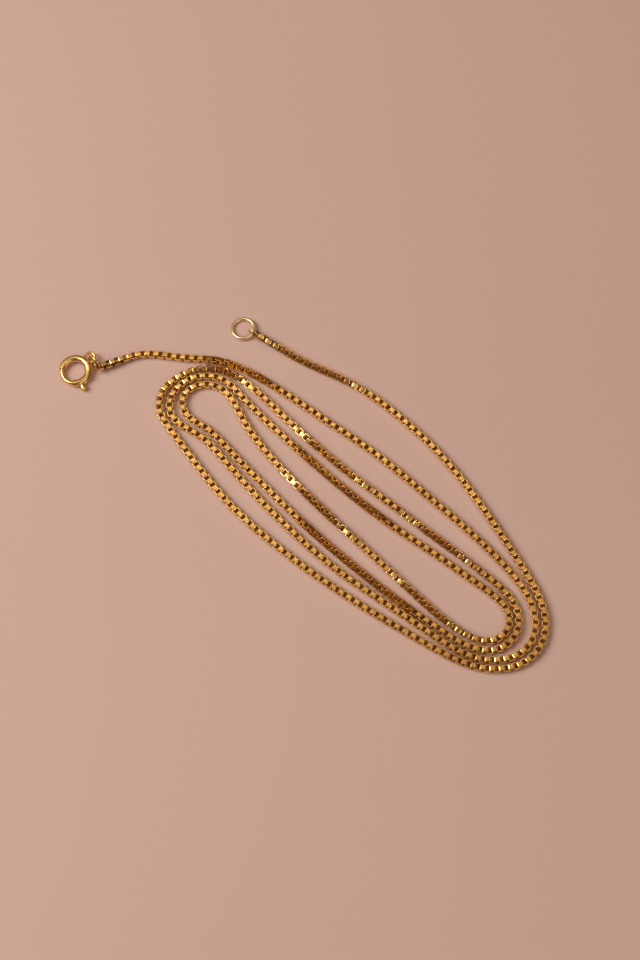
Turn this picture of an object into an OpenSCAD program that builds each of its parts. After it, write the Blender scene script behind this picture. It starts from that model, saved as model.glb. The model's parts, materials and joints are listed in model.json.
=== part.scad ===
// A fine box (Venetian) chain necklace with a spring-ring clasp, lying in flat nested turns.
// Each link is a square ring bent from flat strip and turned a quarter turn from the link before it.
// Units are millimetres, +Z is up, and the chain rests on z = 0.

/* [Chain] */
// Width of the chain across its plates
link_w = 1.05; // [0.8:0.01:1.4]
// Thickness of the strip that a link is bent from
strip_t = 0.16; // [0.12:0.01:0.2]
// Play between the end bars of two joined links, when they sit mid-way
end_play = 0.095; // [0.07:0.005:0.13]
// Play on each side of a link's strip inside the next link
side_play = 0.065; // [0.05:0.005:0.09]
// Gap between a link and the next link but one
link_gap = 0.25; // [0.2:0.01:0.35]
// Bevel on a link's four bent corners
corner_cut = 0.18; // [0.12:0.01:0.24]
// Lean of the chain where it has rolled onto its edge
roll_deg = 45; // [30:1:45]
// Number of links over which the chain rolls from its flat side to its edge
roll_links = 12; // [10:1:20]

/* [End ring] */
// Outer diameter of the plain end ring
end_ring_od = 3.75; // [3:0.05:5]
// Thickness of its wire
end_ring_wire = 0.5; // [0.4:0.02:0.6]
// Mean diameter of the small ring that ties the chain to the end ring
tie_ring_d = 1.4; // [1.3:0.02:1.8]
// Thickness of the tie ring's wire
tie_wire = 0.32; // [0.26:0.02:0.36]

/* [Clasp] */
// Outer diameter of the spring ring
clasp_od = 5; // [4.2:0.1:7]
// Outer diameter of its tube
tube_d = 1.05; // [0.9:0.01:1.3]
// Wall of the tube
tube_wall = 0.15; // [0.12:0.01:0.2]
// Play between the sliding tongue and the tube's bore
tongue_play = 0.06; // [0.04:0.01:0.1]
// Angle that the tongue travels when the trigger is pulled
tongue_travel = 54; // [44:1:58]
// Diameter of the trigger's post
post_d = 0.4; // [0.32:0.02:0.5]
// Play between the post and the sides of its slot
post_play = 0.05; // [0.03:0.01:0.1]
// Diameter of the trigger's knob
knob_d = 0.85; // [0.6:0.05:1]
// Length of the trigger's knob
knob_len = 0.8; // [0.6:0.05:1.2]
// Outer diameter of the soldered eyelet
eyelet_od = 1.85; // [1.6:0.05:2.4]
// Thickness of the eyelet's wire
eyelet_wire = 0.4; // [0.3:0.02:0.5]
// Mean diameter of the jump ring
jump_d = 2.16; // [2:0.02:2.6]
// Thickness of the jump ring's wire
jump_wire = 0.32; // [0.26:0.02:0.36]
// Lean of the jump ring from upright
jump_lean = 4; // [0:1:5]

/* [Hidden] */
// How the chain lies: guide points of a smooth curve, from the end ring to the clasp, for a
// chain guide_w wide. They grow and shrink with link_w, so that the turns never touch.
guide_w = 1.05;
outer_run = [[-6.3, 24.0], [-4.6, 23.0], [-2.2, 21.5], [1, 19.5], [5, 17.7], [9, 15.6], [13, 12.6],
    [16.5, 9.4], [20.5, 5.4], [24, 0.8], [27.5, -4.5], [30.5, -9.6], [33.1, -14.1]];
outer_right_bend = [[34.7, -17.5], [35.1, -20.6], [34.5, -23.3], [32.8, -25.5], [30.3, -26.8],
    [27.4, -27.1], [24.4, -26.6], [21.2, -25.2]];
front_run = [[17, -22.7], [12.5, -20], [7, -16.5], [1.5, -12.6], [-4, -8.2], [-9.5, -3.2],
    [-13.5, 1.8], [-16.5, 6]];
outer_left_bend = [[-18.9, 9.3], [-20.3, 11.5], [-20.5, 13.8], [-19.3, 15.9], [-17.2, 17.5],
    [-14.9, 18.5], [-12.4, 18.7], [-10, 17.9], [-7.6, 16.3], [-5, 14]];
third_run = [[-1.5, 10.3], [3, 5.9], [8, 1.5], [13, -2.3], [18, -6.4], [23, -10.2], [26.5, -13.2]];
third_right_bend = [[29.1, -15.3], [31, -17.8], [31.4, -20.5], [30.5, -22.8], [28.4, -24.2],
    [26, -24.5], [23.4, -23.6], [20.5, -21.6]];
sixth_run = [[16, -18.5], [11.5, -15], [7, -11.2], [2.5, -7.2], [-2, -2.8], [-6, 1.4], [-9, 4.6],
    [-11.2, 7.1]];
inner_left_bend = [[-13, 9], [-14.9, 10], [-16.5, 11.2], [-17.2, 13.1], [-16.4, 15], [-14.6, 16],
    [-12.4, 16], [-10.6, 15], [-9.3, 13.2]];
fifth_run = [[-8.1, 10.6], [-6.3, 7.5], [-3.5, 4], [0, 0.1], [4.5, -4.4], [9, -8.7], [13.5, -13.1],
    [17.5, -17], [20.5, -19.8]];
inner_right_bend = [[22.8, -21.5], [25.1, -22.9], [27.3, -23.1], [29.3, -22.1], [30.1, -20.2],
    [29.6, -18]];
fourth_run = [[27.7, -16.2], [24, -13.5], [19.5, -10.1], [15, -7.1], [10.5, -3.6], [6, 0.2],
    [1.5, 4.3], [-3, 8.6], [-6.5, 12.1], [-8.8, 14.7]];
middle_left_bend = [[-10.4, 16.6], [-12.6, 17.4], [-15.2, 17.3], [-17.5, 15.9], [-18.8, 13.8],
    [-18.9, 11.7], [-17.8, 10], [-15.8, 8.8], [-13.8, 7.7]];
seventh_run = [[-11.6, 5.3], [-8.8, 1.9], [-5, -2.5], [0, -7.6], [5, -12.2], [10, -15.8], [15, -19.2],
    [19.5, -22.5]];
second_right_bend = [[22.8, -24.6], [25.6, -25.7], [28.4, -25.8], [31, -25.1], [33, -23.2],
    [33.7, -20.5], [33.3, -17.8], [32.1, -15.4]];
inner_run = [[30, -12.4], [25, -7.1], [20, -2.6], [15, 2], [10, 6.2], [5, 9.6], [0, 13.3],
    [-4.5, 16.4], [-8.5, 18.8]];
clasp_tail = [[-12.4, 20.1], [-16, 20.1], [-19.4, 20.6], [-22.4, 21], [-24.6, 20.6], [-26.9, 19.5],
    [-29.5, 18.5]];
GUIDES = concat(outer_run, outer_right_bend, front_run, outer_left_bend, third_run,
    third_right_bend, sixth_run, inner_left_bend, fifth_run, inner_right_bend, fourth_run,
    middle_left_bend, seventh_run, second_right_bend, inner_run, clasp_tail);

// Stretches that lie on their edge, as shares of the chain's length: [start, end]. The last one
// is cut off by the chain's end, where the chain has only begun to roll.
ROLLED = [[0.004, 0.03], [0.262, 0.277], [0.297, 0.318], [0.335, 0.352], [0.408, 0.441],
    [0.536, 0.556], [0.574, 0.593], [0.653, 0.68], [0.953, 0.966], [1.0016, 1.1]];

SMOOTH = 64;
GOLD = "Gold";
PALE_GOLD = "PaleGoldenrod";
tiny = 0.001;

// The link
strip_w = link_w - 2 * strip_t - 2 * side_play;
link_len = link_gap + 4 * strip_t + 2 * end_play;
wanted_pitch = link_len - 2 * strip_t - end_play;

// The smooth curve that the guides lead: a uniform cubic B-spline, sampled finely
samples = 24;
function mirrored_end(a, b) = 2 * a - b;
function with_ends(g) = concat([mirrored_end(g[0], g[1])], g,
    [mirrored_end(g[len(g) - 1], g[len(g) - 2])]);
function blend(a, b, c, d, t) = (pow(1 - t, 3) * a + (3 * pow(t, 3) - 6 * t * t + 4) * b
    + (-3 * pow(t, 3) + 3 * t * t + 3 * t + 1) * c + pow(t, 3) * d) / 6;
function curve(g) = concat(
    [for (i = [0 : len(g) - 4], k = [0 : samples - 1])
        blend(g[i], g[i + 1], g[i + 2], g[i + 3], k / samples)],
    [blend(g[len(g) - 4], g[len(g) - 3], g[len(g) - 2], g[len(g) - 1], 1)]);
// moves the middle of the whole necklace over the origin
to_middle = [-0.06, 0.27];
CURVE = [for (g = curve(with_ends(GUIDES))) (g + to_middle) * link_w / guide_w];
function lengths(c) = [for (i = 0, s = 0; i < len(c);
    i = i + 1, s = s + (i < len(c) ? norm(c[i] - c[i - 1]) : 0)) s];
RUN = lengths(CURVE);
chain_len = RUN[len(RUN) - 1];
// an odd number, so that both end links lie flat
links = 2 * round((chain_len / wanted_pitch - 1) / 2) + 1;
pitch = chain_len / links;
X_AT = [for (i = [0 : len(RUN) - 1]) [RUN[i], CURVE[i][0]]];
Y_AT = [for (i = [0 : len(RUN) - 1]) [RUN[i], CURVE[i][1]]];

// How far the chain has rolled at link i: smooth steps up and down around each rolled stretch
function smooth_step(t) = let (u = max(0, min(1, t))) u * u * (3 - 2 * u);
function rolled(i, r) = smooth_step((i - r[0] * links) / roll_links + 0.5)
    * smooth_step((r[1] * links - i) / roll_links + 0.5);
function roll_at(i) = roll_deg * max([for (r = ROLLED) rolled(i, r)]);

// Height of the chain's middle: it rests on the lower of two edges as it rolls
function rest_height(a) = max(link_w / 2 * cos(a) + strip_w / 2 * sin(a),
    strip_w / 2 * cos(a) + link_w / 2 * sin(a));
// Both ends of the chain climb a little onto the rings they hang from. The first link hangs
// just below the middle of the tie ring, which stands on the surface.
climb_links = 10;
tie_height = tie_ring_d / 2 + tie_wire / 2;
below_tie_middle = 0.075;
ring_climb = tie_height - link_w / 2 - below_tie_middle;
clasp_climb = 0.42;
function climb(j) = ring_climb * smooth_step(1 - j / climb_links)
    + clasp_climb * smooth_step(1 - (links - j) / climb_links);
// joint_at(j) is the point between link j - 1 and link j
function joint_height(j) = max(rest_height(roll_at(max(0, j - 1))),
    rest_height(roll_at(min(links - 1, j)))) + climb(j);
function joint_at(j) = [lookup(j * pitch, X_AT), lookup(j * pitch, Y_AT), joint_height(j)];
JOINTS = [for (j = [0 : links]) joint_at(j)];
ROLLS = [for (i = [0 : links - 1]) roll_at(i)];

// Which links belong to which piece
single_links = 6;
ring_side_runs = 4;
ring_side_run_links = 18;
clasp_side_run_links = 14;
coil_runs = 20;
first_coil_link = single_links + ring_side_runs * ring_side_run_links;
last_coil_link = links - single_links - clasp_side_run_links;
function coil_start(k) = first_coil_link
    + round((last_coil_link - first_coil_link) * (k - 1) / coil_runs);

function two_digits(k) = str(k < 10 ? "0" : "", k);
function ring_link_name(k) = str("ring_side_link_", k);
function ring_run_name(k) = str("ring_side_run_", k);
function coil_run_name(k) = str("coil_run_", two_digits(k));
function clasp_link_name(k) = str("clasp_side_link_", k);

// One link, centred, its length along X and its plates above and below
module link() {
    l = link_len / 2;
    w = link_w / 2;
    c = corner_cut;
    outline = [[l, w - c], [l - c, w], [c - l, w], [-l, w - c], [-l, c - w], [c - l, -w],
        [l - c, -w], [l, c - w]];
    hole = [[l - strip_t, w - strip_t], [strip_t - l, w - strip_t], [strip_t - l, strip_t - w],
        [l - strip_t, strip_t - w]];
    rotate([90, 0, 0])
        linear_extrude(strip_w, center = true)
            polygon(concat(outline, hole), [[0, 1, 2, 3, 4, 5, 6, 7], [8, 9, 10, 11]]);
}

// Link i in its place: every other link is turned a quarter turn
module placed_link(i) {
    a = JOINTS[i];
    b = JOINTS[i + 1];
    run = b - a;
    translate((a + b) / 2)
        rotate([0, -asin(run[2] / norm(run)), atan2(run[1], run[0])])
            rotate([ROLLS[i] + (i % 2 == 0 ? 90 : 0), 0, 0])
                link();
}

module chain(first, past_last) {
    color(GOLD)
        for (i = [first : past_last - 1])
            placed_link(i);
}

module ring_side_link(k) { chain(k - 1, k); }
module ring_side_run(k) {
    first = single_links + (k - 1) * ring_side_run_links;
    chain(first, first + ring_side_run_links);
}
module coil_run(k) { chain(coil_start(k), coil_start(k + 1)); }
module clasp_side_run() { chain(last_coil_link, links - single_links); }
module clasp_side_link(k) { chain(links - k, links - k + 1); }

// A closed ring of round wire, lying flat
module wire_ring(mean_d, wire) {
    rotate_extrude($fn = SMOOTH)
        translate([mean_d / 2, 0])
            circle(d = wire, $fn = SMOOTH / 2);
}

// The tie ring stands on edge, with one side down through the first link's hole. Its wire bends
// towards the hole's end above and below, and clears it there.
tie_clearance = 0.06;
out_angle = atan2(JOINTS[1][1] - JOINTS[0][1], JOINTS[1][0] - JOINTS[0][0]);
first_link = (JOINTS[0] + JOINTS[1]) / 2;
tie_level = strip_w / 2 + abs(tie_height - first_link[2]);
tie_offset = link_len / 2 - strip_t + sqrt(pow(tie_ring_d / 2, 2) - pow(tie_level, 2))
    - tie_wire / 2 - tie_clearance;
tie_centre = [first_link[0] - tie_offset * cos(out_angle),
    first_link[1] - tie_offset * sin(out_angle), tie_height];
module tie_ring() {
    color(PALE_GOLD)
        translate(tie_centre)
            rotate([90, 0, out_angle])
                wire_ring(tie_ring_d, tie_wire);
}

// The end ring lies with one side on the surface and the other inside the tie ring, which lifts it
end_ring_mean = end_ring_od - end_ring_wire;
beside_tie_centre = 0.1;
below_tie_centre = 0.24;
lifted_height = tie_centre[2] - below_tie_centre;
end_ring_tilt = asin((lifted_height - end_ring_wire / 2) / end_ring_mean);
module end_ring() {
    color(PALE_GOLD)
        translate([tie_centre[0] - beside_tie_centre * cos(out_angle),
            tie_centre[1] - beside_tie_centre * sin(out_angle), lifted_height])
            rotate([0, -end_ring_tilt, out_angle])
                translate([-end_ring_mean / 2, 0, 0])
                    wire_ring(end_ring_mean, end_ring_wire);
}

// The jump ring stands almost upright between the last link and the clasp's eyelet. Both hang
// at one height on it, where its wire is chord_share of its diameter from its middle.
jump_angle = -48;
last_link = (JOINTS[links] + JOINTS[links - 1]) / 2;
in_run = JOINTS[links] - JOINTS[links - 1];
in_angle = atan2(in_run[1], in_run[0]);
past_last_link = 0.1;
chord_share = 0.46;
jump_half_chord = chord_share * jump_d;
jump_centre = [
    last_link[0] + past_last_link * cos(in_angle) - jump_half_chord * cos(jump_angle),
    last_link[1] + past_last_link * sin(in_angle) - jump_half_chord * sin(jump_angle),
    jump_d / 2 * cos(jump_lean) + jump_wire / 2];
module jump_ring() {
    color(GOLD)
        translate(jump_centre)
            rotate([0, 0, jump_angle])
                rotate([90 - jump_lean, 0, 0])
                    wire_ring(jump_d, jump_wire);
}

// The clasp's own frame: its ring lies in the XY plane around the origin, then it is tilted
// so that the eyelet's side is lifted by the jump ring
eyelet_at = 45;
clasp_tilt = 3.5;
ring_r = (clasp_od - tube_d) / 2;
eyelet_r = (eyelet_od - eyelet_wire) / 2;
eyelet_stand_off = 0.45;
eyelet_reach = clasp_od / 2 + eyelet_stand_off;
eyelet_hang = 0.22;
hook_reach = jump_half_chord + eyelet_hang;
eyelet_centre = [jump_centre[0] - hook_reach * cos(jump_angle),
    jump_centre[1] - hook_reach * sin(jump_angle)];
clasp_centre = [eyelet_centre[0] - eyelet_reach * cos(eyelet_at),
    eyelet_centre[1] - eyelet_reach * sin(eyelet_at),
    tube_d / 2 + ring_r * sin(clasp_tilt)];
module in_clasp() {
    translate(clasp_centre)
        rotate([0, 0, eyelet_at])
            rotate([0, -clasp_tilt, 0])
                rotate([0, 0, -eyelet_at])
                    children();
}
module arc(from, to) {
    rotate([0, 0, from])
        rotate_extrude(angle = to - from, $fn = SMOOTH)
            translate([ring_r, 0])
                children();
}

bore_d = tube_d - 2 * tube_wall;
tongue_d = bore_d - 2 * tongue_play;
mouth_at = 262;
seat_at = 172;
seat_depth = 3;
tail_at = 325;
trigger_at = 296;
stop_from = 495;
stop_to = 502;
slot_spare = 2.5;
slot_margin = slot_spare + asin(post_d / clasp_od);

// Tube: open from the mouth round to the seat, with a slot for the trigger along its outside
module clasp_tube() {
    slot_w = post_d + 2 * post_play;
    color(GOLD)
        in_clasp()
            difference() {
                arc(mouth_at, seat_at + 360)
                    difference() {
                        circle(d = tube_d, $fn = SMOOTH);
                        circle(d = bore_d, $fn = SMOOTH);
                    }
                arc(trigger_at - slot_margin, trigger_at + tongue_travel + slot_margin)
                    translate([0, -slot_w / 2])
                        square([tube_d, slot_w]);
            }
}

// Stop: a plug in the bore that the spring pushes against
module clasp_stop() {
    color(GOLD)
        in_clasp()
            arc(stop_from, stop_to)
                circle(d = bore_d, $fn = SMOOTH);
}

// Tongue: a bent wire that closes the gap and slides back into the tube
module clasp_tongue() {
    color(GOLD)
        in_clasp()
            difference() {
                arc(seat_at - seat_depth, tail_at)
                    circle(d = tongue_d, $fn = SMOOTH);
                trigger_post();
            }
}

module outward(angle, from_r) {
    rotate([0, 0, angle])
        translate([from_r, 0, 0])
            rotate([0, 90, 0])
                children();
}
knob_gap = 0.08;
module trigger_post() {
    outward(trigger_at, ring_r)
        cylinder(d = post_d, h = clasp_od / 2 + knob_gap - ring_r + tiny, $fn = SMOOTH / 2);
}

// Trigger: a post through the slot, with a round knob outside for a fingernail
module clasp_trigger() {
    edge = 0.12;
    color(GOLD)
        in_clasp() {
            trigger_post();
            outward(trigger_at, clasp_od / 2 + knob_gap)
                rotate_extrude($fn = SMOOTH)
                    polygon([[0, 0], [knob_d / 2 - edge, 0], [knob_d / 2, edge],
                        [knob_d / 2, knob_len - edge], [knob_d / 2 - edge, knob_len], [0, knob_len]]);
        }
}

// Eyelet: a closed loop soldered to the outside of the tube
eyelet_span = 30;
module clasp_eyelet() {
    color(GOLD)
        in_clasp()
            rotate([0, 0, eyelet_at])
                translate([eyelet_reach, 0, 0])
                    difference() {
                        wire_ring(2 * eyelet_r, eyelet_wire);
                        translate([-eyelet_reach, 0, 0])
                            arc(-eyelet_span, eyelet_span)
                                circle(d = tube_d, $fn = SMOOTH);
                    }
}

// Spring: a fine coil inside the tube, from the tongue's tail to the stop
spring_turns = 13;
spring_wire = 0.1;
spring_play = 0.055;
spring_r = bore_d / 2 - spring_play - spring_wire / 2;
turn_steps = 9;
wire_sides = 5;
spring_end_gap = 2;
spring_from = tail_at + spring_end_gap;
spring_to = stop_from - spring_end_gap;
spring_rings = spring_turns * turn_steps;
function spring_point(k, side) = let (
    share = k / spring_rings,
    at = spring_from + (spring_to - spring_from) * share,
    turn = 360 * spring_turns * share,
    q = 360 * side / wire_sides,
    r = spring_r + spring_wire / 2 * cos(q),
    along = spring_wire / 2 * sin(q),
    out = ring_r + r * cos(turn))
    [out * cos(at) - along * sin(at), out * sin(at) + along * cos(at), r * sin(turn)];
function spring_index(k, side) = k * wire_sides + side % wire_sides;
module clasp_spring() {
    points = [for (k = [0 : spring_rings], side = [0 : wire_sides - 1]) spring_point(k, side)];
    sides = [for (k = [0 : spring_rings - 1], side = [0 : wire_sides - 1])
        [spring_index(k, side), spring_index(k + 1, side), spring_index(k + 1, side + 1),
            spring_index(k, side + 1)]];
    ends = [[for (side = [0 : wire_sides - 1]) spring_index(0, side)],
        [for (side = [wire_sides - 1 : -1 : 0]) spring_index(spring_rings, side)]];
    color("Silver")
        in_clasp()
            polyhedron(points, concat(sides, ends));
}

end_ring();
tie_ring();
for (k = [1 : single_links])
    ring_side_link(k);
for (k = [1 : ring_side_runs])
    ring_side_run(k);
for (k = [1 : coil_runs])
    coil_run(k);
clasp_side_run();
for (k = [1 : single_links])
    clasp_side_link(k);
jump_ring();
clasp_eyelet();
clasp_tube();
clasp_stop();
clasp_tongue();
clasp_trigger();
clasp_spring();
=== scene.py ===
import json
from math import asin, atan2, cos, degrees, hypot, pi, radians, sin
from random import Random

import bmesh
import bpy
from mathutils import Matrix, Vector


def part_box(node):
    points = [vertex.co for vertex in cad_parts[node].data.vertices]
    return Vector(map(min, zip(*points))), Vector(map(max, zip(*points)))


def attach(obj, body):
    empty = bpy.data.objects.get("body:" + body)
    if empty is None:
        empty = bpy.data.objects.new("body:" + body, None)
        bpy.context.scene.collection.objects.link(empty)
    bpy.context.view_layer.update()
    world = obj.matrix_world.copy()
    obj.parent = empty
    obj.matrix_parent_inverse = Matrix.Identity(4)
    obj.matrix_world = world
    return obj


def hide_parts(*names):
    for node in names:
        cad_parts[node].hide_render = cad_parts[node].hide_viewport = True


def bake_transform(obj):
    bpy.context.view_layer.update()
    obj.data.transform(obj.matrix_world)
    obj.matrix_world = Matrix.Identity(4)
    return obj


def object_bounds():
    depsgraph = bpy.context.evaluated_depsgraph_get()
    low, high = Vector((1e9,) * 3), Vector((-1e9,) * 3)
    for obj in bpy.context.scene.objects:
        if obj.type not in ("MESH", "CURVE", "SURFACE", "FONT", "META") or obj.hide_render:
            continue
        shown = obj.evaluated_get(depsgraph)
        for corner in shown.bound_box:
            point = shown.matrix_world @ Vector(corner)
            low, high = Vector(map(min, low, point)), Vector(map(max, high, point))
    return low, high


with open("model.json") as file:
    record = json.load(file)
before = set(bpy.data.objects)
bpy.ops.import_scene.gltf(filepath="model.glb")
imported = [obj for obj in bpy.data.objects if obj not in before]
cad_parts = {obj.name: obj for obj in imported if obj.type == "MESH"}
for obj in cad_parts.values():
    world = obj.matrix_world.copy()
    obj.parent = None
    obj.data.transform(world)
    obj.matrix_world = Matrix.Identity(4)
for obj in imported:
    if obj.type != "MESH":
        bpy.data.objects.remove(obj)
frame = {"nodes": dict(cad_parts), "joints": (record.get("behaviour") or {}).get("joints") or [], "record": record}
cad_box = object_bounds()
nodes = frame["nodes"]
record = frame["record"]

# Surface, light and camera: the necklace lies on a plain matt sheet of pale peach card, between a
# broad soft window on the left and soft lamps above and on the near right. A dim warm room gives
# polished gold something dark to mirror, and a narrow tube lamp gives the plates their sparkle.
floor_z = cad_box[0][2]


def deselect():
    """Leaves the objects' selection empty, so that an operator works on one piece"""
    bpy.ops.object.select_all(action="DESELECT")


def socket_value(socket, value):
    """Puts a number, a colour or a vector on a node's own socket"""
    if hasattr(socket.default_value, "__len__") and len(socket.default_value) == 4 and len(value) == 3:
        value = (*value, 1)
    socket.default_value = value


class Wire:
    """One output of a shader node. Arithmetic on it adds the Math nodes that work it out"""

    def __init__(self, finish, socket):
        self.finish = finish
        self.socket = socket

    def maths(self, operation, *values):
        sockets = dict(enumerate(values))
        return self.finish.node("ShaderNodeMath", {"operation": operation}, sockets)

    def __add__(self, other):
        return self.maths("ADD", self, other)

    def __sub__(self, other):
        return self.maths("SUBTRACT", self, other)

    def __rsub__(self, other):
        return self.maths("SUBTRACT", other, self)

    def __mul__(self, other):
        return self.maths("MULTIPLY", self, other)

    def clipped(self):
        return self.maths("MINIMUM", self.maths("MAXIMUM", self, 0.0), 1.0)

    __radd__ = __add__
    __rmul__ = __mul__


class Finish:
    """A surface finish, built as one material"""

    def __init__(self, name):
        self.material = bpy.data.materials.new(name)
        self.material.use_nodes = True
        self.tree = self.material.node_tree
        self.tree.nodes.clear()

    def node(self, kind, settings, sockets, output=0):
        made = self.tree.nodes.new(kind)
        for key, value in settings.items():
            if key == "stops":
                while len(made.color_ramp.elements) < len(value):
                    made.color_ramp.elements.new(1)
                for element, (place, colour) in zip(made.color_ramp.elements, value):
                    element.position = place
                    element.color = (*colour, 1)
            else:
                setattr(made, key, value)
        for key, value in sockets.items():
            if isinstance(value, Wire):
                self.tree.links.new(value.socket, made.inputs[key])
            else:
                socket_value(made.inputs[key], value)
        return Wire(self, made.outputs[output]) if len(made.outputs) else None

    def noise(self, scale, detail, stretch=(1, 1, 1)):
        """Cloudy variation from 0 to 1 on the piece's own coordinates, scale cells to the metre"""
        place = self.node("ShaderNodeTexCoord", {}, {}, "Object")
        place = self.node("ShaderNodeMapping", {}, {"Vector": place, "Scale": stretch})
        sockets = {"Vector": place, "Scale": scale, "Detail": detail}
        return self.node("ShaderNodeTexNoise", {}, sockets, "Fac")

    def blend(self, share, first, second):
        """A colour between two, by a share from 0 to 1"""
        settings = {"data_type": "RGBA", "clamp_factor": True}
        return self.node("ShaderNodeMix", settings, {0: share, 6: first, 7: second}, 2)

    def bumped(self, height, strength, distance):
        sockets = {"Strength": strength, "Distance": distance, "Height": height}
        return self.node("ShaderNodeBump", {}, sockets)

    def surface(self, **sockets):
        """Ends the material in one Principled shader and returns the material"""
        shader = self.node("ShaderNodeBsdfPrincipled", {}, sockets)
        self.node("ShaderNodeOutputMaterial", {}, {"Surface": shader})
        return self.material


def lay_card():
    card_side = 1.6
    deselect()
    bpy.ops.mesh.primitive_plane_add(size=card_side, location=(0, 0, floor_z))
    card = bpy.context.object
    card.name = "card"
    bpy.ops.object.transform_apply(location=True, rotation=True, scale=True)
    paper = Finish("peach_card")
    fibre = paper.noise(2600, 4)
    cloud = paper.noise(9, 2)
    card.data.materials.append(paper.surface(**{
        "Base Color": paper.blend(cloud, (0.655, 0.455, 0.38), (0.7, 0.5, 0.425)),
        "Roughness": 0.62 + 0.2 * fibre,
        "Specular IOR Level": 0.25,
        "Normal": paper.bumped(fibre, 0.12, 0.00004),
    }))


def hang(name, data, place):
    """Puts a lamp in its place, facing the middle of the card"""
    lamp = bpy.data.objects.new(name, data)
    lamp.location = place
    lamp.rotation_euler = (-Vector(place)).to_track_quat("-Z", "Y").to_euler()
    bpy.context.scene.collection.objects.link(lamp)


def light_and_look():
    scene = bpy.context.scene
    scene.view_settings.view_transform = "Standard"
    room = bpy.data.worlds.new("room")
    scene.world = room
    room.use_nodes = True
    backdrop = room.node_tree.nodes["Background"]
    backdrop.inputs["Color"].default_value = (0.42, 0.2, 0.11, 1)
    backdrop.inputs["Strength"].default_value = 0.28

    lamps = [
        # name, size, place, watts, colour
        ("window", (0.3, 0.3), (-0.36, 0.02, 0.38), 2.08, (1.0, 0.97, 0.93)),
        ("ceiling", (0.5, 0.42), (0.02, 0.2, 0.5), 0.3, (1.0, 0.77, 0.56)),
        ("tube_lamp", (0.26, 0.03), (-0.03, 0.2, 0.49), 0.055, (1.0, 0.97, 0.86)),
        ("fill", (0.5, 0.5), (0.35, -0.5, 0.5), 0.82, (1.0, 0.95, 0.92)),
    ]
    for name, size, place, watts, colour in lamps:
        data = bpy.data.lights.new(name, "AREA")
        data.shape = "RECTANGLE"
        data.size, data.size_y = size
        data.energy = watts
        data.color = colour
        hang(name, data, place)
    # a soft pool of light over the middle of the card, from the near right
    data = bpy.data.lights.new("pool", "SPOT")
    data.energy = 3.4
    data.color = (1.0, 0.95, 0.92)
    data.shadow_soft_size = 0.16
    data.spot_size = radians(18)
    data.spot_blend = 1
    hang("pool", data, (0.3, -0.15, 0.5))

    # 70 degrees above the card, from 251 mm away
    aim = Vector((0.00324, 0.00147, 0))
    tilt = radians(20)
    reach = 0.25057
    data = bpy.data.cameras.new("camera")
    data.lens = 64.9
    data.clip_start = 0.01
    camera = bpy.data.objects.new("camera", data)
    camera.location = aim + Vector((0, -reach * sin(tilt), reach * cos(tilt)))
    camera.rotation_euler = (tilt, 0, 0)
    scene.collection.objects.link(camera)
    scene.camera = camera


lay_card()
light_and_look()

# Chain links: each is a closed square ring bent from flat gold strip, 0.16 mm thick and 0.6 mm
# wide, with round bends and tumbled edges. It passes through the next one, a quarter turn round,
# and nothing but that holds the chain together.
MM = 0.001
strip_t = 0.16
bend_r = 0.23
edge_r = 0.03


def edit(piece):
    deselect()
    piece.select_set(True)
    bpy.context.view_layer.objects.active = piece
    bpy.ops.object.mode_set(mode="EDIT")


def done():
    bpy.ops.object.mode_set(mode="OBJECT")


def pick(kind, wanted):
    """Selects the vertices, edges or faces of the piece in edit mode that wanted() says yes to"""
    bpy.ops.mesh.select_mode(type=kind)
    bpy.ops.mesh.select_all(action="DESELECT")
    mesh = bmesh.from_edit_mesh(bpy.context.object.data)
    parts = {"VERT": mesh.verts, "EDGE": mesh.edges, "FACE": mesh.faces}[kind]
    for part in parts:
        if wanted(part):
            part.select_set(True)
    mesh.select_flush_mode()
    bmesh.update_edit_mesh(bpy.context.object.data)


def links_in(node):
    """The place of each link of a CAD run, as a matrix whose axes are its length, width and bore"""
    mesh = bmesh.new()
    mesh.from_mesh(node.data)
    bmesh.ops.remove_doubles(mesh, verts=mesh.verts, dist=1e-7)
    mesh.normal_update()
    mesh.faces.ensure_lookup_table()
    mesh.faces.index_update()
    seen = set()
    places = []
    for first in mesh.faces:
        if first.index in seen:
            continue
        link = [first]
        seen.add(first.index)
        for face in link:
            for edge in face.edges:
                for near in edge.link_faces:
                    if near.index not in seen:
                        seen.add(near.index)
                        link.append(near)
        corners = [corner.co.copy() for face in link for corner in face.verts]
        normals = []
        for face in link:
            if all(abs(face.normal.dot(known)) < 0.99 for known in normals):
                normals.append(face.normal.copy())

        def reach(axis):
            along = [corner.dot(axis) for corner in corners]
            return max(along) - min(along)

        bore, across, length = sorted(normals, key=reach)[:3]
        middle = Vector()
        for axis in (bore, across, length):
            along = [corner.dot(axis) for corner in corners]
            middle += axis * (max(along) + min(along)) / 2
        across = bore.cross(length)
        place = Matrix((length, across, bore)).transposed().to_4x4()
        places.append((Matrix.Translation(middle) @ place, (reach(length), reach(across), reach(bore))))
    mesh.free()
    return places


def finish_with(piece, kind, **settings):
    """Adds one modifier to the piece and applies it"""
    deselect()
    piece.select_set(True)
    bpy.context.view_layer.objects.active = piece
    modifier = piece.modifiers.new(kind.lower(), kind)
    for key, value in settings.items():
        setattr(modifier, key, value)
    bpy.ops.object.modifier_apply(modifier=modifier.name)


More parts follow.
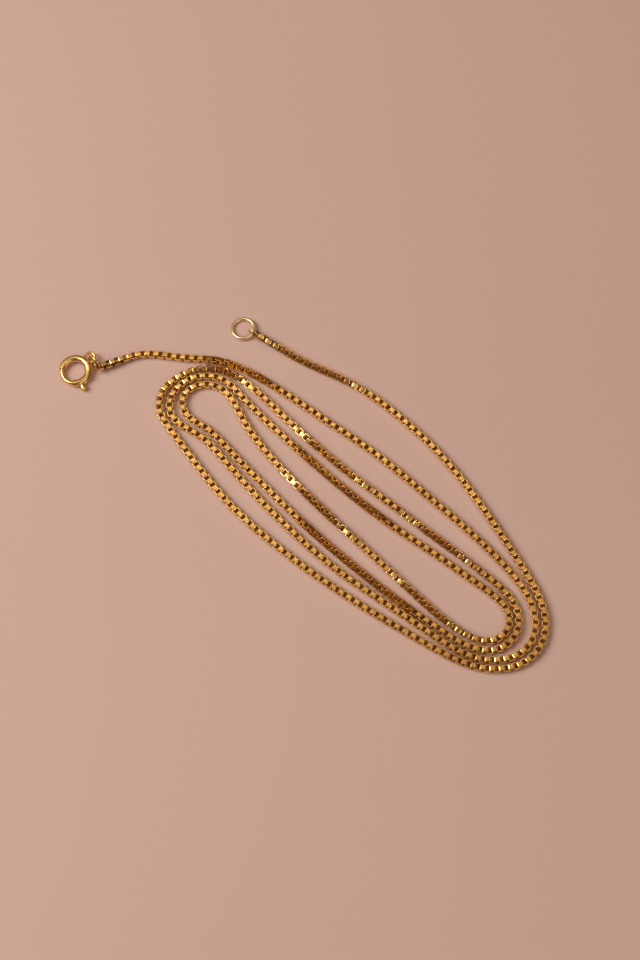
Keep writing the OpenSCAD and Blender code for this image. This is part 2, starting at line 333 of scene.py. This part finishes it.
def model_link(size):
    """One link in millimetres, in its own axes: X along the chain, Z through its hole"""
    facing = 0.9
    deselect()
    bpy.ops.mesh.primitive_cube_add(size=1, scale=size)
    link = bpy.context.object
    bpy.ops.object.transform_apply(location=True, rotation=True, scale=True)
    top = size[2] / 2
    edit(link)
    pick("EDGE", lambda edge: abs(edge.verts[0].co.z - edge.verts[1].co.z) > top)
    bpy.ops.mesh.bevel(offset=bend_r, segments=2, affect="EDGES")
    pick("FACE", lambda face: abs(face.normal.z) > facing)
    bpy.ops.mesh.inset(thickness=strip_t, use_even_offset=True)
    bpy.ops.mesh.bridge_edge_loops()

    def rim(edge):
        level = all(abs(abs(corner.co.z) - top) < 1e-4 for corner in edge.verts)
        return level and any(abs(face.normal.z) < 0.5 for face in edge.link_faces)

    pick("EDGE", rim)
    bpy.ops.mesh.bevel(offset=edge_r, segments=1, affect="EDGES")
    bpy.ops.mesh.select_all(action="SELECT")
    bpy.ops.mesh.normals_make_consistent(inside=False)
    bpy.ops.mesh.select_all(action="DESELECT")
    done()
    bpy.ops.object.shade_smooth_by_angle(angle=radians(50))
    finish_with(link, "WEIGHTED_NORMAL", keep_sharp=True)
    # the plates and bars outside are slot 0; the strip's cut edges and the walls of the hole are slot 1, which
    # gets a dark brown painted shade
    for face in link.data.polygons:
        sideways = abs(face.normal.z) < 0.5
        outside = sideways and face.normal.dot(face.center) > size[2] / 2
        face.material_index = 0 if outside else 1
    return link


def yellow_gold(name, light, deep, rough):
    """Polished gold: its tone drifts, deeper in patches, and it has fine rubbing marks"""
    gold = Finish(name)
    tone = gold.noise(420, 3)
    patch = gold.noise(95, 2)
    rubbing = gold.noise(5200, 3, (1, 0.25, 1))
    shade = ((patch - 0.42) * 2.2 + (tone - 0.5) * 0.7).clipped()
    return gold.surface(**{
        "Metallic": 1.0,
        "Base Color": gold.blend(shade, light, deep),
        "Roughness": rough + 0.1 * rubbing + 0.06 * tone,
        "Normal": gold.bumped(rubbing + 0.5 * tone, 0.16, 0.00001),
    })


def painted_shade_gold(name):
    """Painted shade on the strip's cut edges and the inside of the links: matt and dark brown, mottled at random
    """
    gold = Finish(name)
    shade_mottle = gold.noise(900, 3)
    return gold.surface(**{
        "Metallic": 1.0,
        # dark brown painted shade, mottled at random between two browns
        "Base Color": gold.blend(shade_mottle, (0.15, 0.06, 0.015), (0.26, 0.12, 0.03)),
        "Roughness": 0.42 + 0.12 * shade_mottle,
        "Normal": gold.bumped(shade_mottle, 0.2, 0.00001),
    })


def body_of(node):
    return next(body for body, members in record["behaviour"]["bodies"].items() if node in members)


def dress(piece, name, *materials):
    """Names a finished piece and gives it its finish"""
    piece.name = name
    piece.data.name = name
    slots = [face.material_index for face in piece.data.polygons]
    piece.data.materials.clear()
    for material in materials:
        piece.data.materials.append(material)
    piece.data.polygons.foreach_set("material_index", slots)


def fit(piece, name, node, *materials):
    """Dresses a piece and puts it in the place of its CAD node, on that node's body"""
    dress(piece, name, *materials)
    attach(piece, body_of(node))
    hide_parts(node)


chain_gold = yellow_gold("chain_gold", (0.9, 0.58, 0.19), (0.68, 0.37, 0.1), 0.16)
# slot 1 of the links: dark brown painted shade in the holes and on the strip's edges
inner_painted_shade = painted_shade_gold("inner_painted_shade")
chain_nodes = [name for name in nodes if "_link_" in name or "_run" in name]
link_size = [round(side / MM, 3) for side in links_in(nodes["ring_side_link_1"])[0][1]]
pattern = model_link(link_size)
most_rock = 2
most_nod = 1.2
loose = Random(7)
for node in sorted(chain_nodes):
    copies = []
    # the single links move against each other, so they lie true
    slack = 0 if "_link_" in node else 1
    for place, _ in links_in(nodes[node]):
        rock = Matrix.Rotation(radians(slack * loose.uniform(-most_rock, most_rock)), 4, "X")
        nod = Matrix.Rotation(radians(slack * loose.uniform(-most_nod, most_nod)), 4, "Y")
        copy = bpy.data.objects.new(node, pattern.data.copy())
        bpy.context.scene.collection.objects.link(copy)
        copy.data.transform(place @ rock @ nod @ Matrix.Scale(MM, 4))
        copies.append(copy)
    deselect()
    for copy in copies:
        copy.select_set(True)
    bpy.context.view_layer.objects.active = copies[0]
    if len(copies) > 1:
        bpy.ops.object.join()
    # outsides in chain gold, holes and cut edges in the dark brown painted shade
    fit(bpy.context.object, node + "_strip", node, chain_gold, inner_painted_shade)
bpy.data.objects.remove(pattern)


# End ring and tie ring: plain closed rings of round wire, in a paler gold than the chain. The tie
# ring is closed through the first link and round the end ring, and each was soldered shut and
# filed, which leaves a slight flat at the join.
def frame_at(middle, normal, towards):
    """The axes of a flat piece: Z along its normal, and X as near as may be towards a direction"""
    z_axis = Vector(normal).normalized()
    x_axis = Vector(towards)
    x_axis = (x_axis - z_axis * x_axis.dot(z_axis)).normalized()
    y_axis = z_axis.cross(x_axis)
    return Matrix.Translation(middle) @ Matrix((x_axis, y_axis, z_axis)).transposed().to_4x4()


def settle(piece, place):
    """Moves a piece modelled in millimetres, in its own axes, to its place on the necklace"""
    piece.data.transform(place @ Matrix.Scale(MM, 4))


def model_ring(mean_d, wire, join_at, sides=20, steps=72):
    """A ring of round wire, in millimetres, with its filed join at that angle"""
    deselect()
    bpy.ops.mesh.primitive_torus_add(
        major_radius=mean_d / 2, minor_radius=wire / 2, major_segments=steps, minor_segments=sides
    )
    ring = bpy.context.object
    filed = 0.94
    filed_reach = wire * 0.56
    join = radians(join_at)
    middle = Vector((cos(join), sin(join), 0)) * mean_d / 2
    edit(ring)
    pick("VERT", lambda corner: (corner.co - middle).length < filed_reach)
    bpy.ops.transform.resize(value=(filed, filed, filed), center_override=middle)
    done()
    bpy.ops.object.shade_smooth()
    return ring


def joint(name):
    return next(found for found in frame["joints"] if found["name"] == name)


def mount(name):
    return next(found for found in record["mounts"] if found["name"] == name)


pale_gold = yellow_gold("pale_gold", (0.93, 0.74, 0.42), (0.86, 0.62, 0.3), 0.24)
end_ring_d = 3.25
end_ring_wire = 0.5
end_ring_join = 128
tie_ring_d = 1.4
tie_wire = 0.32
tie_ring_join = 90
lowest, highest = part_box("tie_ring")
tie_middle = (lowest + highest) / 2
eye = Vector(mount("end_ring_eye")["pos_m"])
end_ring = model_ring(end_ring_d, end_ring_wire, end_ring_join)
settle(end_ring, frame_at(eye, mount("end_ring_eye")["axis"], tie_middle - eye))
fit(end_ring, "end_ring_wire", "end_ring", pale_gold)
tie_ring = model_ring(tie_ring_d, tie_wire, tie_ring_join)
settle(tie_ring, frame_at(tie_middle, joint("end_ring_flip")["axis"], (0, 0, 1)))
fit(tie_ring, "tie_ring_wire", "tie_ring", pale_gold)

# Jump ring: a closed ring of 0.32 mm wire that stands nearly on edge, and joins the last link to
# the clasp's eyelet.
clasp_gold = yellow_gold("clasp_gold", (0.94, 0.66, 0.24), (0.84, 0.52, 0.17), 0.2)
jump_d = 2.16
jump_wire = 0.32
jump_lean = 4
jump_join = 75
lowest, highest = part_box("jump_ring")
jump_middle = (lowest + highest) / 2
jump_run = Vector(joint("clasp_lift")["axis"])
upright = Matrix.Rotation(radians(90), 3, "Z") @ jump_run
jump_normal = Matrix.Rotation(radians(jump_lean), 3, jump_run) @ upright
jump_ring = model_ring(jump_d, jump_wire, jump_join)
settle(jump_ring, frame_at(jump_middle, jump_normal, jump_run))
fit(jump_ring, "jump_ring_wire", "jump_ring", clasp_gold)

# Clasp tube: the body of the spring ring, rolled from thin sheet into a tube and bent round. It
# is open from the mouth to the seat, and slotted along its outside for the trigger's post.
clasp_od = 5
tube_d = 1.05
tube_wall = 0.15
ring_r = (clasp_od - tube_d) / 2
bore_d = tube_d - 2 * tube_wall
mouth_at = 262
seat_at = 172
trigger_at = 296
trigger_travel = 54
eyelet_at = 45
slot_w = 0.5
slot_margin = 7.1
lip_r = 0.035
pull = joint("trigger_pull")
clasp_normal = Vector(pull["axis"]).normalized()
level = Vector((cos(radians(eyelet_at)), sin(radians(eyelet_at)), 0))
toward_eyelet = (level - clasp_normal * level.dot(clasp_normal)).normalized()
clasp_place = frame_at(Vector(pull["pos_m"]), clasp_normal, toward_eyelet)
clasp_place = clasp_place @ Matrix.Rotation(radians(-eyelet_at), 4, "Z")


def section_at(angle, radius, sides, first_turn=0.0):
    """A circle across the ring at that angle, the start of a bent tube or wire"""
    deselect()
    turn = radians(angle)
    bpy.ops.mesh.primitive_circle_add(
        vertices=sides, radius=radius, location=(ring_r * cos(turn), ring_r * sin(turn), 0),
        rotation=(radians(90), first_turn, turn),
    )
    bpy.ops.object.transform_apply(location=True, rotation=True, scale=True)
    return bpy.context.object


def bend_on(angle, steps):
    """Carries the selected end of a tube on round the ring"""
    bpy.ops.mesh.spin(steps=steps, angle=radians(angle), center=(0, 0, 0), axis=(0, 0, -1))


def angle_of(point):
    """How far round the ring a point is, from the mouth onwards"""
    return (degrees(atan2(point.y, point.x)) - mouth_at) % 360


def model_tube():
    tube = section_at(mouth_at, tube_d / 2, sides=24)
    # the corners that stand nearest to the slot's sides move onto them
    near_slot = radians(30)
    lip = asin(slot_w / tube_d)
    edit(tube)
    mesh = bmesh.from_edit_mesh(tube.data)
    outward = Vector((cos(radians(mouth_at)), sin(radians(mouth_at)), 0))
    for corner in mesh.verts:
        across = corner.co.dot(outward) - ring_r
        turn = atan2(corner.co.z, across)
        if abs(abs(turn) - near_slot) < 0.01:
            turn = lip if turn > 0 else -lip
            height = Vector((0, 0, tube_d / 2 * sin(turn)))
            corner.co = outward * (ring_r + tube_d / 2 * cos(turn)) + height
    bmesh.update_edit_mesh(tube.data)
    slot_from = trigger_at - slot_margin - mouth_at
    slot_to = trigger_at + trigger_travel + slot_margin - mouth_at
    bpy.ops.mesh.select_all(action="SELECT")
    bend_on(slot_from, 7)
    bend_on(slot_to - slot_from, 18)
    bend_on(seat_at + 360 - mouth_at - slot_to, 44)

    def in_slot(face):
        middle = face.calc_center_median()
        over = slot_from < angle_of(middle) < slot_to
        return over and abs(middle.z) < slot_w / 2 and hypot(middle.x, middle.y) > ring_r

    pick("FACE", in_slot)
    bpy.ops.mesh.delete(type="FACE")
    bpy.ops.mesh.select_all(action="SELECT")
    bpy.ops.mesh.remove_doubles(threshold=0.0001)
    bpy.ops.mesh.normals_make_consistent(inside=False)
    done()
    finish_with(tube, "SOLIDIFY", thickness=tube_wall, offset=-1, use_even_offset=True)
    bpy.ops.object.shade_smooth_by_angle(angle=radians(40))
    finish_with(tube, "BEVEL", width=lip_r, segments=2, limit_method="ANGLE", angle_limit=radians(60))
    finish_with(tube, "WEIGHTED_NORMAL", keep_sharp=True)
    return tube


tube = model_tube()
settle(tube, clasp_place)
fit(tube, "clasp_tube_body", "clasp_tube", clasp_gold)

# Eyelet: a loop of wire soldered to the outside of the tube, with a fillet of solder round both
# of its feet.
eyelet_od = 1.85
eyelet_wire = 0.4
eyelet_reach = clasp_od / 2 + 0.45
fillet_from = clasp_od / 2 + 0.22
fillet_depth = 0.3
fillet_swell = 0.28
solder_bite = 0.02


def model_eyelet():
    mean_r = (eyelet_od - eyelet_wire) / 2
    deselect()
    bpy.ops.mesh.primitive_torus_add(
        major_radius=mean_r, minor_radius=eyelet_wire / 2, major_segments=64, minor_segments=20,
        location=(eyelet_reach, 0, 0),
    )
    eyelet = bpy.context.object
    bpy.ops.object.transform_apply(location=True, rotation=True, scale=True)
    for corner in eyelet.data.vertices:
        spot = corner.co - Vector((eyelet_reach, 0, 0))
        spine = Vector((spot.x, spot.y, 0)).normalized() * mean_r
        near = (fillet_from - corner.co.x) / fillet_depth
        swell = 1 + fillet_swell * min(max(near, 0), 1) ** 2
        corner.co = Vector((eyelet_reach, 0, 0)) + spine + (spot - spine) * swell
    deselect()
    bpy.ops.mesh.primitive_torus_add(
        major_radius=ring_r, minor_radius=tube_d / 2 - solder_bite, major_segments=144,
        minor_segments=32,
    )
    tube_shape = bpy.context.object
    finish_with(eyelet, "BOOLEAN", operation="DIFFERENCE", object=tube_shape, solver="EXACT")
    bpy.data.objects.remove(tube_shape)
    deselect()
    eyelet.select_set(True)
    bpy.context.view_layer.objects.active = eyelet
    bpy.ops.object.shade_smooth_by_angle(angle=radians(50))
    return eyelet


eyelet = model_eyelet()
settle(eyelet, clasp_place @ Matrix.Rotation(radians(eyelet_at), 4, "Z"))
fit(eyelet, "clasp_eyelet_loop", "clasp_eyelet", clasp_gold)

# Stop: a short plug fixed in the bore, that the far end of the spring pushes against.
stop_from = 495
stop_to = 502
stop_edge = 0.04


def model_bent_wire(start, end, radius, sides, steps, nose):
    """A bent round wire with rounded ends"""
    wire = section_at(start, radius, sides)
    edit(wire)
    bpy.ops.mesh.select_all(action="SELECT")
    bpy.ops.mesh.edge_face_add()
    bpy.ops.mesh.select_all(action="SELECT")
    bend_on(end - start, steps)
    bpy.ops.mesh.select_all(action="SELECT")
    bpy.ops.mesh.remove_doubles(threshold=0.0001)
    bpy.ops.mesh.normals_make_consistent(inside=False)
    pick("FACE", lambda face: len(face.verts) == sides)
    bpy.ops.mesh.region_to_loop()
    bpy.ops.mesh.bevel(offset=nose, segments=4, affect="EDGES")
    done()
    bpy.ops.object.shade_smooth_by_angle(angle=radians(50))
    return wire


stop = model_bent_wire(stop_from, stop_to, bore_d / 2, sides=24, steps=4, nose=stop_edge)
settle(stop, clasp_place)
fit(stop, "clasp_stop_plug", "clasp_stop", clasp_gold)

# Tongue: a bent round wire that slides in the bore. Its nose shuts against the seat, and its tail
# carries the trigger's post.
tongue_play = 0.06
tongue_d = bore_d - 2 * tongue_play
seat_depth = 3
tail_at = 325
nose_r = 0.11
tongue = model_bent_wire(
    seat_at - seat_depth, tail_at, tongue_d / 2, sides=28, steps=60, nose=nose_r
)
settle(tongue, clasp_place)
fit(tongue, "clasp_tongue_wire", "clasp_tongue", clasp_gold)

# Trigger: a post riveted into the tongue, which stands out through the slot and ends in a small
# turned knob for a fingernail.
post_d = 0.4
knob_d = 0.85
knob_len = 0.8
knob_gap = 0.08
cap_len = knob_len * 0.14
cap_inset = 0.2
knob_edge = 0.08


def model_trigger():
    """The trigger in millimetres, standing along Z with the ring's mean circle at z = 0"""
    post_len = clasp_od / 2 + knob_gap - ring_r
    deselect()
    bpy.ops.mesh.primitive_cylinder_add(
        vertices=32, radius=post_d / 2, depth=post_len, location=(0, 0, post_len / 2)
    )
    trigger = bpy.context.object
    bpy.ops.object.transform_apply(location=True, rotation=True, scale=True)
    edit(trigger)
    pick("FACE", lambda face: face.normal.z > 0.9)
    wide = knob_d / post_d
    bpy.ops.mesh.extrude_region_move(TRANSFORM_OT_translate={"value": (0, 0, 0)})
    bpy.ops.transform.resize(value=(wide, wide, 1))
    bpy.ops.mesh.extrude_region_move(TRANSFORM_OT_translate={"value": (0, 0, knob_len - cap_len)})
    bpy.ops.mesh.inset(thickness=cap_inset)
    bpy.ops.transform.translate(value=(0, 0, cap_len))

    def turned_edge(edge):
        radii = [hypot(corner.co.x, corner.co.y) for corner in edge.verts]
        heights = [corner.co.z for corner in edge.verts]
        return min(radii) > post_d / 2 + 0.01 and abs(heights[0] - heights[1]) < 1e-4

    pick("EDGE", turned_edge)
    bpy.ops.mesh.bevel(offset=knob_edge, segments=4, affect="EDGES")
    bpy.ops.mesh.select_all(action="SELECT")
    bpy.ops.mesh.normals_make_consistent(inside=False)
    done()
    bpy.ops.object.shade_smooth_by_angle(angle=radians(45))
    return trigger


trigger = model_trigger()
turn = Matrix.Rotation(radians(trigger_at), 4, "Z")
stand_out = Matrix.Translation((ring_r, 0, 0)) @ Matrix.Rotation(radians(90), 4, "Y")
trigger.data.transform(stand_out)
settle(trigger, clasp_place @ turn)
fit(trigger, "clasp_trigger_knob", "clasp_trigger", clasp_gold)

# Spring: a fine coil of steel wire in the bore, between the tongue's tail and the stop. It shows
# only as a glint through the slot, and it closes up round the bore as the trigger is pulled.
end_gap = 2
spring_from = tail_at + end_gap
spring_to = stop_from - end_gap
spring_turns = 13
spring_wire = 0.1
spring_play = 0.055
spring_r = bore_d / 2 - spring_play - spring_wire / 2
turn_steps = 14


def steel_wire(name):
    steel = Finish(name)
    drawn = steel.noise(3000, 2, (1, 1, 0.1))
    return steel.surface(**{
        "Metallic": 1.0,
        "Base Color": steel.blend(drawn, (0.5, 0.49, 0.47), (0.66, 0.65, 0.62)),
        "Roughness": 0.25 + 0.15 * drawn,
    })


def model_spring():
    rings = spring_turns * turn_steps
    curve = bpy.data.curves.new("spring", "CURVE")
    curve.dimensions = "3D"
    curve.bevel_depth = spring_wire / 2
    curve.bevel_resolution = 2
    curve.use_fill_caps = True
    coil = curve.splines.new("POLY")
    coil.points.add(rings)
    for index, point in enumerate(coil.points):
        share = index / rings
        round_ring = radians(spring_from + (spring_to - spring_from) * share)
        round_bore = 2 * pi * spring_turns * share
        reach = ring_r + spring_r * cos(round_bore)
        point.co = (reach * cos(round_ring), reach * sin(round_ring), spring_r * sin(round_bore), 1)
    spring = bpy.data.objects.new("spring", curve)
    bpy.context.scene.collection.objects.link(spring)
    deselect()
    spring.select_set(True)
    bpy.context.view_layer.objects.active = spring
    bpy.ops.object.convert(target="MESH")
    bpy.ops.object.shade_smooth()
    return bpy.context.object


spring = model_spring()
settle(spring, clasp_place)
dress(spring, "clasp_spring_coil", steel_wire("spring_steel"))
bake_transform(spring)
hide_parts("clasp_spring")
